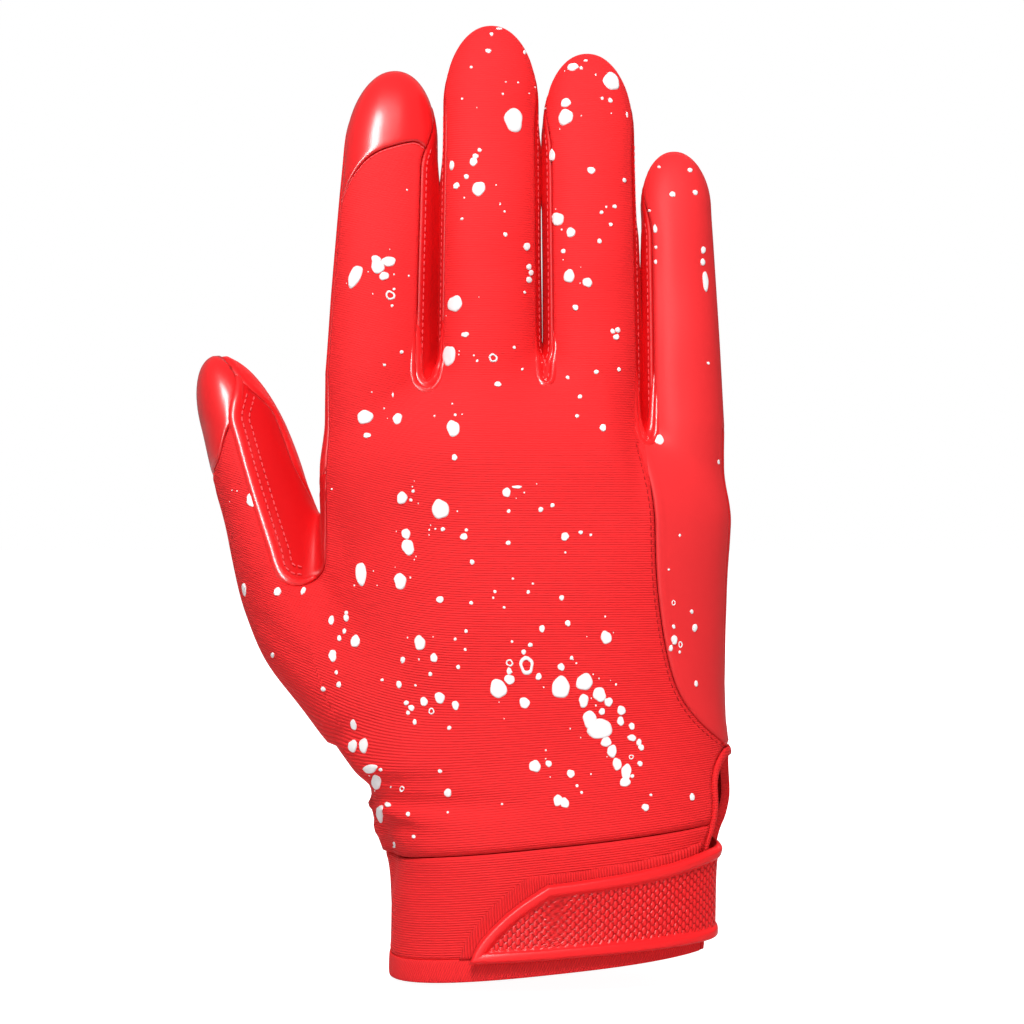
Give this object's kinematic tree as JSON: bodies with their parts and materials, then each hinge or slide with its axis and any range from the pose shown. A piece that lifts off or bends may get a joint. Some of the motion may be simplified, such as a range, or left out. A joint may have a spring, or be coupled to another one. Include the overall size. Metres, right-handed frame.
{
  "type": "football receiver glove",
  "caption": "Right-hand sports glove in worn form: ribbed knit back with printed splatter, smooth side cloth, coated palm and tips, and a wrist strap tab over a slit cuff",
  "frame": {"origin": "middle of the wrist opening, level with the lowest point of the cuff", "axes": "+X towards the little finger, -Y out of the back of the hand, +Z towards the fingertips"},
  "size_m": [0.1314, 0.0584, 0.2287],
  "materials": {
    "back_panel": "ribbed knit with printed splatter",
    "palm_panel": "smooth tacky coating",
    "side_panel": "smooth stretch cloth",
    "index_tip": "glossy coating",
    "thumb_tip": "glossy coating",
    "side_strip_index_middle": "smooth stretch cloth",
    "side_strip_middle_ring": "smooth stretch cloth",
    "side_strip_ring_little": "smooth stretch cloth",
    "thumb_gusset": "smooth tacky coating",
    "cuff_band": "ribbed knit",
    "cuff_hem": "rolled knit",
    "slit_binding": "rolled knit",
    "loop_patch": "ribbed knit",
    "closure_tab": "satin moulded rubber"
  },
  "bodies": {
    "root": {"back_panel": "back_panel", "palm_panel": "palm_panel", "side_panel": "side_panel", "index_tip": "index_tip", "thumb_tip": "thumb_tip", "side_strip_index_middle": "side_strip_index_middle", "side_strip_middle_ring": "side_strip_middle_ring", "side_strip_ring_little": "side_strip_ring_little", "thumb_gusset": "thumb_gusset", "cuff_band": "cuff_band", "cuff_hem": "cuff_hem", "slit_binding": "slit_binding", "loop_patch": "loop_patch", "closure_tab": "closure_tab"}
  },
  "joints": []
}
